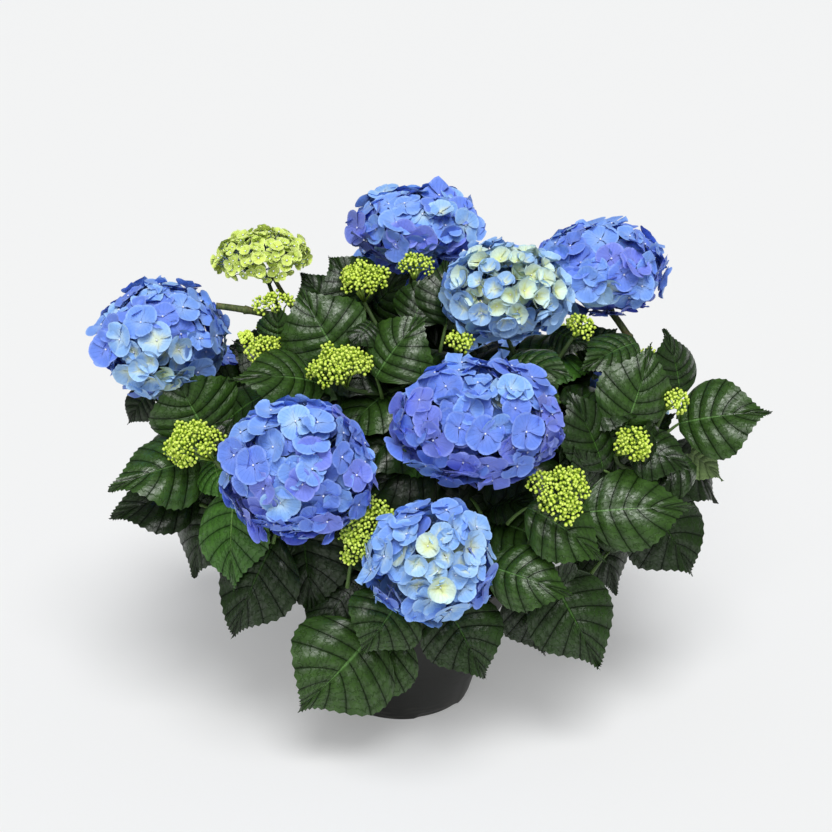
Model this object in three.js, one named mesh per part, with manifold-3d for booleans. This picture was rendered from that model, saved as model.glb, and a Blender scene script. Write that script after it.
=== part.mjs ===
// A mophead hydrangea in its nursery pot. Millimetres, +Z up, the pot standing on z = 0 at the origin.
// The pot is a thin moulded shell filled by its root ball. Canes rise from the root ball and each one ends
// just inside a mass of foliage. Blooms and bud clusters sit in hollows of the foliage, LEAF_FIT clear.
import * as THREE from "three";
import Module from "manifold-3d";
import { mergeVertices } from "three/addons/utils/BufferGeometryUtils.js";

const wasm = await Module();
wasm.setup();
const { Manifold, Mesh: SolidMesh } = wasm;

// ---- driving dimensions ----
const POT_HEIGHT = 148;
const RIM_RADIUS = 118;
const FOOT_RADIUS = 73;
const COLLAR_DROP = 29; // from the rim down to the step under the collar
const COLLAR_STEP = 7; // how far the collar stands out from the wall
const WALL = 2.4;
const FLOOR_THICKNESS = 3;
const NOTCH_HEIGHT = 5; // drainage notches that scallop the foot
const NOTCH_COUNT = 4;
const NOTCH_ARC = 46; // degrees of the foot that each notch takes
const FIRST_NOTCH = -56; // degrees round from +X
const POT_SIDES = 28;
const SOIL_BELOW_RIM = 22;
const SOIL_CROWN = 5; // the compost is a little higher at its middle
const FIT = 0.3; // clearance between pieces that meet
const LEAF_FIT = 1.5; // how much a neighbour is grown before it is cut from a mass
const CROWN_MIDDLE = new THREE.Vector3(0, 0, 250); // leaves face away from here
const SUNNY_SIDE = new THREE.Vector3(0, -0.75, 0.65); // and the near ones turn to the light in front
const NEAR_SIDE = 60; // leaves with their tips before this Y are the near ones
const CANE_RADIUS = 4.6;
const SMOOTHING = 0.8; // slivers left by cutting are smoothed out to within this

// ---- looks ----
const paint = (colour, roughness) => new THREE.MeshStandardMaterial({ color: colour, roughness, metalness: 0 });
const CHARCOAL = paint("#2b2c2b", 0.5);
const COMPOST = paint("#2a1f17", 0.95);
const CANE_GREEN = paint("#4d5b33", 0.7);
const LEAF_GREEN = paint("#24431f", 0.45);
const PETAL_BLUE = paint("#5576d8", 0.75);
const PETAL_VIOLET = paint("#5a5fcf", 0.75);
const PETAL_PALE = paint("#8fb4dc", 0.75);
const YOUNG_GREEN = paint("#b9d24b", 0.8);
const BUD_GREEN = paint("#a3c02c", 0.8);

// ---- helpers ----
const vec = (p) => new THREE.Vector3(p[0], p[1], p[2]);
const RAD = Math.PI / 180;

// A small repeatable random source, so that a grown copy gets the same lumps as its original.
function dice(seed) {
  let state = seed * 2654435761 + 12345;
  return () => {
    state = (Math.imul(state ^ (state >>> 15), 2246822519) + 3266489917) >>> 0;
    return state / 4294967296;
  };
}

function toSolid(geometry) {
  const bare = geometry.clone();
  bare.deleteAttribute("normal");
  bare.deleteAttribute("uv");
  const welded = mergeVertices(bare, 1e-4);
  return new Manifold(
    new SolidMesh({
      numProp: 3,
      vertProperties: Float32Array.from(welded.attributes.position.array),
      triVerts: Uint32Array.from(welded.index.array),
    }),
  );
}

function toGeometry(solid) {
  const mesh = solid.getMesh();
  const geometry = new THREE.BufferGeometry();
  geometry.setAttribute("position", new THREE.BufferAttribute(Float32Array.from(mesh.vertProperties), 3));
  geometry.setIndex(new THREE.BufferAttribute(Uint32Array.from(mesh.triVerts), 1));
  geometry.computeVertexNormals();
  return geometry;
}

// Cutting can free a crumb: only the biggest connected body of a mass is kept.
function biggest(solid) {
  return solid.decompose().sort((a, b) => b.volume() - a.volume())[0];
}

// ---- the pot ----
function potSolid() {
  const foot = FOOT_RADIUS;
  const stepZ = POT_HEIGHT - COLLAR_DROP;
  const collarFoot = RIM_RADIUS - 5;
  const wallTop = collarFoot - COLLAR_STEP;
  const outer = [
    [0, 0],
    [foot - 3, 0],
    [foot, 3],
    [wallTop, stepZ - 4],
    [collarFoot, stepZ],
    [RIM_RADIUS - 2.5, POT_HEIGHT - 6],
    [RIM_RADIUS, POT_HEIGHT - 4],
    [RIM_RADIUS, POT_HEIGHT - 1],
    [RIM_RADIUS - 1, POT_HEIGHT],
    [RIM_RADIUS - 4, POT_HEIGHT],
  ];
  const inner = [
    [collarFoot - WALL, stepZ + 3],
    [wallTop - WALL, stepZ - 4],
    [foot - WALL - 1, FLOOR_THICKNESS],
    [0, FLOOR_THICKNESS],
  ];
  const profile = [...outer, ...inner].map(([r, z]) => new THREE.Vector2(r, z));
  const shell = toSolid(new THREE.LatheGeometry(profile, POT_SIDES).rotateX(Math.PI / 2));
  return shell.subtract(footNotches());
}

// Wide shallow notches round the foot's edge let water out and give it its scalloped lower line.
function footNotches() {
  const notches = [];
  for (let i = 0; i < NOTCH_COUNT; i += 1) {
    const middle = FIRST_NOTCH + (i * 360) / NOTCH_COUNT;
    const shape = new THREE.Shape();
    const half = NOTCH_ARC / 2;
    shape.absarc(0, 0, FOOT_RADIUS + 20, (middle - half) * RAD, (middle + half) * RAD, false);
    shape.absarc(0, 0, FOOT_RADIUS - 9, (middle + half - 4) * RAD, (middle - half + 4) * RAD, true);
    shape.closePath();
    const slab = new THREE.ExtrudeGeometry(shape, { depth: NOTCH_HEIGHT + 5, bevelEnabled: false, curveSegments: 4 });
    notches.push(toSolid(slab.translate(0, 0, -5)).intersect(notchCeiling()));
  }
  return Manifold.union(notches);
}

// The notches stop below the pot's floor, which stays whole.
function notchCeiling() {
  const ring = [
    [FOOT_RADIUS - 12, -6],
    [FOOT_RADIUS + 30, -6],
    [FOOT_RADIUS + 30, NOTCH_HEIGHT],
    [FOOT_RADIUS - 2, NOTCH_HEIGHT],
    [FOOT_RADIUS - 6, FLOOR_THICKNESS - 1.4],
    [FOOT_RADIUS - 12, FLOOR_THICKNESS - 1.4],
    [FOOT_RADIUS - 12, -6],
  ];
  const profile = ring.map(([r, z]) => new THREE.Vector2(r, z));
  return toSolid(new THREE.LatheGeometry(profile, POT_SIDES).rotateX(Math.PI / 2));
}

function rootBall() {
  const stepZ = POT_HEIGHT - COLLAR_DROP;
  const wallTop = RIM_RADIUS - 5 - COLLAR_STEP;
  const soilZ = POT_HEIGHT - SOIL_BELOW_RIM;
  const gap = WALL + FIT;
  const ring = [
    [0, FLOOR_THICKNESS + FIT],
    [FOOT_RADIUS - gap - 1.2, FLOOR_THICKNESS + FIT],
    [wallTop - gap, stepZ - 4],
    [wallTop - gap + 5, soilZ],
    [0, soilZ + SOIL_CROWN],
  ];
  const profile = ring.map(([r, z]) => new THREE.Vector2(r, z));
  return toSolid(new THREE.LatheGeometry(profile, POT_SIDES).rotateX(Math.PI / 2));
}

// ---- canes, stalks and blooms ----
// A limb tapers along a gentle bow from one place to another.
function limb(from, to, bow, startRadius, endRadius, grow = 0, sides = 6, steps = 3) {
  const a = vec(from);
  const b = vec(to);
  const middle = a.clone().lerp(b, 0.5).add(vec(bow));
  const path = new THREE.QuadraticBezierCurve3(a, middle, b);
  const rings = [];
  for (let i = 0; i <= steps; i += 1) {
    const t = i / steps;
    const centre = path.getPoint(t);
    const along = path.getTangent(t);
    const side = new THREE.Vector3(0, 1, 0).cross(along).lengthSq() > 0.01
      ? new THREE.Vector3(0, 1, 0).cross(along).normalize()
      : new THREE.Vector3(1, 0, 0);
    const across = along.clone().cross(side);
    const radius = startRadius + (endRadius - startRadius) * t + grow;
    const ring = [];
    for (let k = 0; k < sides; k += 1) {
      const turn = (k / sides) * Math.PI * 2;
      ring.push(centre.clone().addScaledVector(side, radius * Math.cos(turn))
        .addScaledVector(across, radius * Math.sin(turn)));
    }
    rings.push(ring);
  }
  return skin(rings);
}

// Closes a row of rings, all with the same number of points, into one solid.
function skin(rings) {
  const points = [];
  const faces = [];
  const sides = rings[0].length;
  rings.flat().forEach((p) => points.push(p.x, p.y, p.z));
  for (let i = 0; i + 1 < rings.length; i += 1) {
    for (let k = 0; k < sides; k += 1) {
      const a = i * sides + k;
      const b = i * sides + ((k + 1) % sides);
      faces.push(a, b, b + sides, a, b + sides, a + sides);
    }
  }
  const top = (rings.length - 1) * sides;
  for (let k = 1; k + 1 < sides; k += 1) {
    faces.push(0, k + 1, k);
    faces.push(top, top + k, top + k + 1);
  }
  return new Manifold(
    new SolidMesh({
      numProp: 3,
      vertProperties: Float32Array.from(points),
      triVerts: Uint32Array.from(faces),
    }),
  );
}

// An uneven ball: each corner stands in or out a little. A dome is shallower on the side that faces `under`.
function lump(centre, half, seed, { grow = 0, detail = 2, rough = 0.07, under = null, shallow = 1 } = {}) {
  const geometry = mergeVertices(bareBall(detail), 1e-4);
  const roll = dice(seed);
  const place = geometry.attributes.position;
  const down = under ? vec(under).normalize() : null;
  for (let i = 0; i < place.count; i += 1) {
    const dir = new THREE.Vector3().fromBufferAttribute(place, i).normalize();
    const reach = 1 + rough * (2 * roll() - 1);
    const p = new THREE.Vector3(dir.x * half[0], dir.y * half[1], dir.z * half[2]).multiplyScalar(reach);
    if (down) {
      const depth = p.dot(down);
      if (depth > 0) p.addScaledVector(down, -depth * (1 - shallow));
    }
    p.setLength(p.length() + grow);
    place.setXYZ(i, p.x + centre[0], p.y + centre[1], p.z + centre[2]);
  }
  return toSolid(geometry);
}

function bareBall(detail) {
  const ball = new THREE.IcosahedronGeometry(1, detail);
  ball.deleteAttribute("normal");
  ball.deleteAttribute("uv");
  return ball;
}

// A leaf blade as a thin lens with a pointed tip, reaching out from inside its mass.
const LEAF_STATIONS = [
  // [distance back from the tip, share of the half width, half thickness]
  [24, 0.58, 2.6],
  [60, 1.0, 5],
];
function blade(root, tip, halfWidth, grow = 0) {
  const a = vec(root);
  const b = vec(tip);
  const along = b.clone().sub(a);
  const length = along.length();
  along.normalize();
  const facing = b.clone().lerp(a, 0.4).sub(CROWN_MIDDLE).normalize();
  facing.z += 0.5;
  if (b.y < NEAR_SIDE) facing.multiplyScalar(0.35).add(SUNNY_SIDE);
  const side = along.clone().cross(facing).normalize();
  const up = side.clone().cross(along);
  const ringAt = (back, width, thick) => {
    const c = b.clone().addScaledVector(along, -back);
    return [
      c.clone().addScaledVector(side, width),
      c.clone().addScaledVector(up, thick),
      c.clone().addScaledVector(side, -width),
      c.clone().addScaledVector(up, -thick),
    ];
  };
  const rings = [ringAt(-grow, 0.5 + grow, 0.5 + grow)];
  LEAF_STATIONS.filter(([back]) => back < length - 8).forEach(([back, share, thick]) => {
    rings.push(ringAt(back, halfWidth * share + grow, thick + grow));
  });
  rings.push(ringAt(length + grow, halfWidth * 0.45 + grow, 7 + grow));
  return skin(rings);
}

// ---- where everything is ----
// [name, centre, half sizes, side it hangs from, material, lump seed]
const BLOOMS = [
  ["bloom_left", [-244, -5, 417], [77, 72, 64], [0.75, 0.3, -0.6], PETAL_BLUE],
  ["bloom_young", [-142, 30, 484], [50, 48, 35], [0.2, 0, -1], YOUNG_GREEN],
  ["bloom_top", [14, 90, 500], [72, 70, 50], [0, -0.2, -1], PETAL_BLUE],
  ["bloom_pale", [107, -20, 466], [67, 64, 56], [-0.1, 0.4, -1], PETAL_PALE],
  ["bloom_right", [218, 60, 461], [71, 67, 59], [-0.1, 0.3, -1], PETAL_BLUE],
  ["bloom_front_left", [-98, -168, 341], [77, 70, 75], [0.3, 1, -0.4], PETAL_BLUE],
  ["bloom_middle", [73, -138, 376], [83, 70, 67], [-0.1, 1, -0.6], PETAL_VIOLET],
  ["bloom_front", [28, -200, 254], [65, 60, 64], [0, 1, 0.1], PETAL_PALE],
  ["bloom_back_upper", [5, 170, 425], [62, 58, 52], [0, -0.8, -0.8], PETAL_BLUE],
  ["bloom_back_right", [100, 235, 300], [68, 60, 62], [-0.3, -1, -0.3], PETAL_BLUE],
  ["bloom_back_left", [-95, 235, 302], [69, 62, 62], [0.3, -1, -0.3], PETAL_VIOLET],
  ["bloom_side_right", [240, 140, 285], [60, 62, 56], [-1, -0.6, -0.3], PETAL_PALE],
  ["bloom_side_left", [-208, 140, 292], [60, 62, 56], [1, -0.6, -0.3], PETAL_BLUE],
];

const BUD_CLUSTERS = [
  ["buds_left", [-203, -108, 336], [29, 22, 26]],
  ["buds_centre", [-59, -84, 410], [33, 26, 20]],
  ["buds_top", [-42, 0, 474], [27, 24, 18]],
  ["buds_right", [229, -92, 330], [22, 18, 15]],
  ["buds_front_right", [152, -162, 309], [34, 20, 32]],
  ["buds_front", [-30, -182, 276], [32, 20, 40]],
];

// Each mass: its heart and half sizes, then the tips of the leaves that break its outline,
// each with half the leaf's width.
const MASSES = [
  ["leaves_left", [-185, -20, 290], [72, 68, 72], [
    [-294, -110, 288, 40], [-306, -60, 233, 38], [-230, -40, 394, 42], [-222, -70, 168, 42], [-291, 10, 311, 20],
  ]],
  ["leaves_front_left", [-125, -92, 240], [62, 48, 60], [
    [-166, -135, 187, 40], [-174, -135, 133, 42], [-88, -122, 150, 44],
  ]],
  ["leaves_front", [0, -125, 218], [72, 42, 50], [
    [-101, -175, 72, 44], [-39, -185, 144, 40], [-40, -150, 64, 30], [88, -170, 105, 40],
  ]],
  ["leaves_front_right", [125, -105, 230], [66, 52, 58], [
    [203, -155, 231, 32], [173, -175, 202, 30], [202, -145, 104, 42], [150, -105, 97, 32],
  ]],
  ["leaves_right", [215, -35, 290], [76, 62, 70], [
    [384, -20, 338, 42], [297, -100, 267, 38], [307, -60, 167, 46], [340, 10, 219, 36], [253, -30, 420, 36],
    [269, 20, 416, 32], [224, -70, 148, 32], [293, -80, 300, 24],
  ]],
  ["leaves_upper_left", [-85, 0, 378], [72, 66, 60], [
    [-169, -110, 404, 34], [-125, -5, 454, 24], [-100, -10, 471, 40], [-72, 40, 492, 38], [-106, 40, 475, 28],
  ]],
  ["leaves_heart", [15, -30, 350], [70, 58, 74], [[24, -32, 448, 38], [30, 20, 476, 26], [44, 30, 492, 30]]],
  ["leaves_upper_right", [140, 10, 358], [74, 66, 54], [
    [182, -60, 384, 30], [172, -92, 402, 24], [194, 10, 414, 30], [160, -88, 372, 28],
  ]],
];

// The far side is not one leaf after another but a rule: a fan of tips round each heart.
// [name, heart, half sizes, middle azimuth, spread, leaves]
const FAR_MASSES = [
  ["leaves_back_right", [168, 100, 270], [80, 74, 78], 38, 80, 4],
  ["leaves_back", [0, 150, 255], [82, 66, 76], 92, 84, 5],
  ["leaves_back_left", [-165, 95, 278], [80, 72, 76], 146, 80, 4],
  ["leaves_upper_back", [10, 95, 385], [86, 56, 54], 90, 130, 3],
];
const FAR_REACH = 158; // heart to tip
const FAR_HALF_WIDTH = 40;
const FAR_DROPS = [-110, 20, -60, 60, -85, -20]; // height of each tip against its heart, in turn

const CANES = [
  // [name, the mass it carries, azimuth of its foot, bow outward]
  ["cane_left", "leaves_left", 185, 16],
  ["cane_front_left", "leaves_front_left", 232, 10],
  ["cane_front", "leaves_front", 268, 10],
  ["cane_front_right", "leaves_front_right", 318, 10],
  ["cane_right", "leaves_right", 352, 16],
  ["cane_back_right", "leaves_back_right", 35, 14],
  ["cane_back", "leaves_back", 88, 12],
  ["cane_back_left", "leaves_back_left", 148, 14],
  ["cane_middle", "leaves_heart", 300, -2],
];
const CANE_FOOT_RING = 30; // radius of the ring of cane feet on the compost
const MIDDLE_FOOT_RING = 10;

// The bare stalks that show under the blooms standing clear of the leaves.
const STALKS = [
  ["stalk_left", [-112, 12, 424], [-190, 2, 446], [-10, 0, 10], 5],
  ["stalk_young", [-112, 20, 436], [-136, 28, 476], [-2, 0, 0], 3.2],
  ["stalk_right", [248, 36, 384], [212, 56, 432], [2, 0, 6], 4.2],
  ["stalk_right_thin", [182, 34, 396], [197, 52, 432], [-2, 0, 2], 2.8],
];

// ---- assembly ----
const group = new THREE.Group();
group.name = "hydrangea_in_pot";
const place = (name, solid, material) => {
  const mesh = new THREE.Mesh(toGeometry(solid), material);
  mesh.name = name;
  group.add(mesh);
};

// A cane is drawn from a little inside the compost, then trimmed to stand on it.
const stemFoot = (azimuth, ring) => {
  const z = POT_HEIGHT - SOIL_BELOW_RIM - 4;
  return [ring * Math.cos(azimuth * RAD), ring * Math.sin(azimuth * RAD), z];
};

// Every solid is described once and built twice: as it is, and grown for cutting room in its neighbours.
const limbs = [];
for (const [name, mass, azimuth, out] of CANES) {
  const heart = [...MASSES, ...FAR_MASSES].find((m) => m[0] === mass);
  const ring = mass === "leaves_heart" ? MIDDLE_FOOT_RING : CANE_FOOT_RING;
  const foot = stemFoot(azimuth, ring);
  const under = [heart[1][0] * 0.82, heart[1][1] * 0.82, heart[1][2] - heart[2][2] * 0.7];
  const bow = [out * Math.cos(azimuth * RAD), out * Math.sin(azimuth * RAD), -out];
  limbs.push({
    name,
    make: (grow) => limb(foot, under, bow, CANE_RADIUS, CANE_RADIUS * 0.8, grow),
  });
}
for (const [name, from, to, bow, radius] of STALKS) {
  limbs.push({ name, make: (grow) => limb(from, to, bow, radius, radius * 0.85, grow) });
}

const heads = [];
BLOOMS.forEach(([name, centre, half, under, material], i) => {
  heads.push({
    name,
    material,
    make: (grow) => lump(centre, half, 11 + i, { grow, under, shallow: 0.62, rough: 0.06 }),
  });
});
BUD_CLUSTERS.forEach(([name, centre, half], i) => {
  heads.push({
    name,
    material: BUD_GREEN,
    make: (grow) => lump(centre, half, 41 + i, { grow, detail: 1, rough: 0.12 }),
  });
});

const farTips = (heart, middle, spread, count) => {
  const tips = [];
  for (let i = 0; i < count; i += 1) {
    const azimuth = (middle + spread * (i / (count - 1) - 0.5)) * RAD;
    const drop = FAR_DROPS[i % FAR_DROPS.length];
    const reach = Math.sqrt(FAR_REACH ** 2 - drop ** 2);
    tips.push([
      heart[0] + reach * Math.cos(azimuth),
      heart[1] + reach * Math.sin(azimuth),
      heart[2] + drop,
      FAR_HALF_WIDTH,
    ]);
  }
  return tips;
};

const masses = [
  ...MASSES,
  ...FAR_MASSES.map(([name, heart, half, middle, spread, count]) => [
    name, heart, half, farTips(heart, middle, spread, count),
  ]),
].map(([name, heart, half, tips], i) => ({
  name,
  make: (grow) => Manifold.union([
    lump(heart, half, 71 + i, { grow, detail: 1, rough: 0.1 }),
    ...tips.map(([x, y, z, width]) => blade(heart, [x, y, z], width, grow)),
  ]),
}));

const pot = potSolid();
const soil = rootBall();
place("pot", pot, CHARCOAL);
place("root_ball", soil, COMPOST);

const potRoom = Manifold.cylinder(POT_HEIGHT + 2, FOOT_RADIUS + 3, RIM_RADIUS + 6, POT_SIDES);
const taken = [soil.translate(0, 0, FIT)]; // room kept for what is already placed
for (const { name, make } of limbs) {
  place(name, biggest(make(0).subtract(Manifold.union(taken))), CANE_GREEN);
  taken.push(make(LEAF_FIT));
}
taken.push(potRoom);
for (const { name, material, make } of heads) {
  place(name, biggest(make(0).subtract(Manifold.union(taken))).simplify(SMOOTHING), material);
  taken.push(make(LEAF_FIT));
}
for (const { name, make } of masses) {
  const trimmed = biggest(make(0).subtract(Manifold.union(taken)));
  place(name, biggest(trimmed.simplify(SMOOTHING)), LEAF_GREEN);
  taken.push(make(LEAF_FIT));
}

export default group;
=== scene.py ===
# %% [markdown]
# # A mophead hydrangea in its nursery pot
#
# The frame brings the plant as plain solids in their true places: a pot, its root ball, the canes, and the
# masses of leaf, blossom and bud. This lesson grows the real plant over them. Leaves, florets and buds are
# many small shapes, so each kind is worked out as arrays and joined into one mesh, while the pot, the
# compost and the canes are modelled one step at a time.

# %% The frame
import math

import bpy
import numpy as np
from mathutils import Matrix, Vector
from mathutils.bvhtree import BVHTree


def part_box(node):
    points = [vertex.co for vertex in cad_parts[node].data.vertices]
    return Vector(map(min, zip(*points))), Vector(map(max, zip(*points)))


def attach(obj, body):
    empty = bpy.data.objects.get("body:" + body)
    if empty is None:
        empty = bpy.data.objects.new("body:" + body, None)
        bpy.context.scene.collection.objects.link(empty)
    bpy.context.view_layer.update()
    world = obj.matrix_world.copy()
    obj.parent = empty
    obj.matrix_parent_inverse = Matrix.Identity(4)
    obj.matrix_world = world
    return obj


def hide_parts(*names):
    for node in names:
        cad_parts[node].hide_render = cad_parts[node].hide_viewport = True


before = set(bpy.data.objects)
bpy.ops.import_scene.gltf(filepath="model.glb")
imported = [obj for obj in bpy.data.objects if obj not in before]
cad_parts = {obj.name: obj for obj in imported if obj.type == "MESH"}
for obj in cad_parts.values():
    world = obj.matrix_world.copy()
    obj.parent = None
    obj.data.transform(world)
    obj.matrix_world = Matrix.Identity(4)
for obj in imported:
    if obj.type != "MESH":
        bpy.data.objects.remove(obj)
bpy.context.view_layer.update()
MM = 0.001
UP = np.array([0.0, 0.0, 1.0])


def unit(v):
    """A vector or a row of vectors, each at length one."""
    v = np.asarray(v, float)
    return v / np.maximum(np.linalg.norm(v, axis=-1, keepdims=True), 1e-12)


def node_box(name):
    """Middle and half size of a frame node, in metres."""
    low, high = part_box(name)
    return np.array((low + high) / 2), np.array((high - low) / 2)


def smooth(low, high, x):
    """0 below low, 1 above high, eased between."""
    t = np.clip((np.asarray(x, float) - low) / (high - low), 0, 1)
    return t * t * (3 - 2 * t)


# %% [markdown]
# ## Writing a finish as arithmetic
#
# A finish is a node tree, and most of a node tree is sums. `Flow` wraps one socket so that the sums can be
# written with plus and times. `Finish` is one material: it makes the nodes and plugs flows into the shader.

# %% Flows and finishes
class Flow:
    """One output socket, used as if it were a number or a colour."""

    def __init__(self, finish, socket):
        self.finish = finish
        self.socket = socket

    def math(self, operation, *others, swap=False):
        values = [others[0], self] if swap else [self, *others]
        return self.finish.node("ShaderNodeMath", {"operation": operation}, dict(enumerate(values)))

    def __add__(self, other):
        return self.math("ADD", other)

    def __sub__(self, other):
        return self.math("SUBTRACT", other)

    def __rsub__(self, other):
        return self.math("SUBTRACT", other, swap=True)

    def __mul__(self, other):
        return self.math("MULTIPLY", other)

    def __truediv__(self, other):
        return self.math("DIVIDE", other)

    def __pow__(self, other):
        return self.math("POWER", other)

    __radd__ = __add__
    __rmul__ = __mul__

    def size(self):
        return self.math("ABSOLUTE")

    def rise(self, low, high, out_low=0.0, out_high=1.0):
        """Eases from out_low to out_high as the flow goes from low to high."""
        settings = {"interpolation_type": "SMOOTHSTEP"}
        return self.finish.node(
            "ShaderNodeMapRange",
            settings,
            {"Value": self, "From Min": low, "From Max": high, "To Min": out_low, "To Max": out_high},
        )

    def near_whole(self):
        """How far the flow is from a whole number: 0 on it, 0.5 half way between two."""
        return 0.5 - (self.math("FRACT") - 0.5).size()

    def part(self, axis):
        return self.finish.node("ShaderNodeSeparateXYZ", {}, {0: self}, axis)

    def blend(self, first, second):
        """first where the flow is 0 and second where it is 1, both colours."""
        settings = {"data_type": "RGBA"}
        return self.finish.node("ShaderNodeMix", settings, {0: self, 6: first, 7: second}, 2)


class Finish:
    """One material, with its shader's own sockets set by name."""

    def __init__(self, name, **constants):
        self.material = bpy.data.materials.new(name)
        self.material.use_nodes = True
        self.tree = self.material.node_tree
        self.shader = self.tree.nodes["Principled BSDF"]
        for socket, value in constants.items():
            self.set(socket.replace("_", " "), value)

    def plug(self, socket, value):
        if isinstance(value, Flow):
            self.tree.links.new(value.socket, socket)
        elif isinstance(value, tuple) and len(value) == 3 and socket.type == "RGBA":
            socket.default_value = (*value, 1.0)
        else:
            socket.default_value = value

    def set(self, name, value):
        self.plug(self.shader.inputs[name], value)

    def node(self, kind, settings, inputs, output=0):
        node = self.tree.nodes.new(kind)
        for key, value in settings.items():
            setattr(node, key, value)
        for key, value in inputs.items():
            self.plug(node.inputs[key], value)
        return Flow(self, node.outputs[output])

    def map(self, name):
        return self.node("ShaderNodeUVMap", {"uv_map": name}, {})

    def place(self):
        return self.node("ShaderNodeTexCoord", {}, {}, "Object")

    def stretch(self, flow, by):
        return self.node("ShaderNodeVectorMath", {"operation": "MULTIPLY"}, {0: flow, 1: by})

    def noise(self, where, scale, detail=3.0, roughness=0.55):
        inputs = {"Vector": where, "Scale": scale, "Detail": detail, "Roughness": roughness}
        return self.node("ShaderNodeTexNoise", {}, inputs)

    def cells(self, where, scale, feature="DISTANCE_TO_EDGE"):
        return self.node("ShaderNodeTexVoronoi", {"feature": feature}, {"Vector": where, "Scale": scale})

    def relief(self, height, depth, strength=1.0):
        """Raises the surface by height times depth, in metres."""
        inputs = {"Height": height, "Distance": depth, "Strength": strength}
        self.set("Normal", self.node("ShaderNodeBump", {}, inputs))


def colour(code):
    """A hex colour as the linear light that a shader takes."""
    parts = [int(code[i:i + 2], 16) / 255 for i in (1, 3, 5)]
    return tuple(c / 12.92 if c <= 0.04045 else ((c + 0.055) / 1.055) ** 2.4 for c in parts)


# %% [markdown]
# ## Gathering small shapes
#
# Thousands of separate objects would be slow and hard to carry. A `Harvest` takes each leaf, floret or bud
# as a few rows of numbers and joins them into one mesh. Every shape lays its own small map over the same
# square, one square for each look, so that one pattern serves them all.

# %% Harvest
class Harvest:
    """Many small shapes of one kind, joined into one mesh."""

    def __init__(self, map_name, looks):
        self.map_name = map_name
        self.looks = looks
        self.points = []
        self.maps = []
        self.faces = []
        self.face_looks = []
        self.count = 0

    def add(self, points, faces, flat, look):
        """points n by 3, faces blocks of corner numbers, flat n by 2 on the unit square."""
        self.points.append(points)
        self.maps.append(flat)
        for block in faces:
            self.faces.append(block + self.count)
            self.face_looks.append(np.full(len(block), look))
        self.count += len(points)

    def join(self, name, *nodes, slot):
        points = np.concatenate(self.points)
        flat = np.concatenate(self.maps)
        faces = [row for block in self.faces for row in block.tolist()]
        looks = np.concatenate(self.face_looks)
        mesh = bpy.data.meshes.new(name)
        mesh.from_pydata(points.tolist(), [], faces)
        for finish in self.looks:
            mesh.materials.append(finish.material)
        mesh.polygons.foreach_set("material_index", looks.astype(np.int32))
        mesh.polygons.foreach_set("use_smooth", np.ones(len(faces), bool))
        corner = np.zeros(len(mesh.loops), np.int32)
        mesh.loops.foreach_get("vertex_index", corner)
        total = np.zeros(len(faces), np.int32)
        mesh.polygons.foreach_get("loop_total", total)
        corner_look = np.repeat(looks, total)
        own = mesh.uv_layers.new(name=self.map_name)
        own.data.foreach_set("uv", flat[corner].astype(np.float32).ravel())
        tiles = math.ceil(math.sqrt(len(self.looks)))
        tile = np.stack([corner_look % tiles, corner_look // tiles], axis=1)
        shared = (flat[corner] * 0.92 + 0.04 + tile) / tiles
        mesh.uv_layers.new(name="OFBake").data.foreach_set("uv", shared.astype(np.float32).ravel())
        mesh.uv_layers.active = own
        own.active_render = True
        mesh.validate()
        piece = bpy.data.objects.new(name, mesh)
        bpy.context.scene.collection.objects.link(piece)
        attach(piece, "root")
        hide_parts(*nodes)
        mesh.calc_loop_triangles()
        print(name, len(mesh.loop_triangles), "triangles")


# %% [markdown]
# ## Tubes for stalks
#
# A leaf stalk or a floret's stalk is a tube along a few points, thinner towards its end and capped there.
# The rings are carried along without twisting: each takes its side from the ring before it.

# %% Tube
def tube(points, radii, sides):
    """A tube along the points, capped at both ends: its corners, faces and flat map."""
    points = np.asarray(points, float)
    along = unit(np.gradient(points, axis=0))
    guide = np.array([1.0, 0.0, 0.0]) if abs(along[0][0]) < 0.8 else np.array([0.0, 1.0, 0.0])
    rings = []
    turn = np.arange(sides) / sides * 2 * math.pi
    for centre, way, radius in zip(points, along, radii):
        side = unit(guide - way * np.dot(guide, way))
        other = np.cross(way, side)
        rings.append(centre + radius * (np.outer(np.cos(turn), side) + np.outer(np.sin(turn), other)))
        guide = side
    corners = np.concatenate(rings)
    k = np.arange(sides)
    step = (np.arange(len(points) - 1) * sides)[:, None]
    a = step + k
    b = step + (k + 1) % sides
    wall = np.stack([a, b, b + sides, a + sides], axis=-1).reshape(-1, 4)
    faces = (wall, k[None, ::-1], k[None, :] + step[-1] + sides)
    run = np.repeat(np.linspace(0, 1, len(points)), sides)
    flat = np.stack([np.tile(k / sides, len(points)), run], axis=1)
    return corners, faces, flat


def bow(start, end, lift, steps):
    """Points along a bowed line from start to end; lift is how its middle is carried off the straight."""
    t = np.linspace(0, 1, steps)[:, None]
    return start * (1 - t) + end * t + 4 * t * (1 - t) * lift


# %% [markdown]
# ## The leaf
#
# A hydrangea leaf is a broad oval drawn out to a point, toothed all round. Its side veins leave the midrib
# in pairs and sweep towards the tip, and between them the blade swells like a quilt. The mesh follows the
# veins: each row runs out along one, so the quilting and the teeth fall where the plant has them.

# %% Leaf shape
LEAF_VEINS = 8.5  # side veins from base to tip
VEIN_SWEEP = 1.9  # how far forward a side vein runs before the margin
QUILT = 0.014  # swell between veins, as a share of the leaf's length
TOOTH = 0.015  # length of a tooth, as a share of the leaf's length
FINE_ROWS, FINE_STEPS = 38, np.array([0, 0.16, 0.4, 0.66, 0.88, 1.0])  # steps from midrib to margin
PLAIN_ROWS, PLAIN_STEPS = 20, np.array([0, 0.3, 0.7, 1.0])


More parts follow.
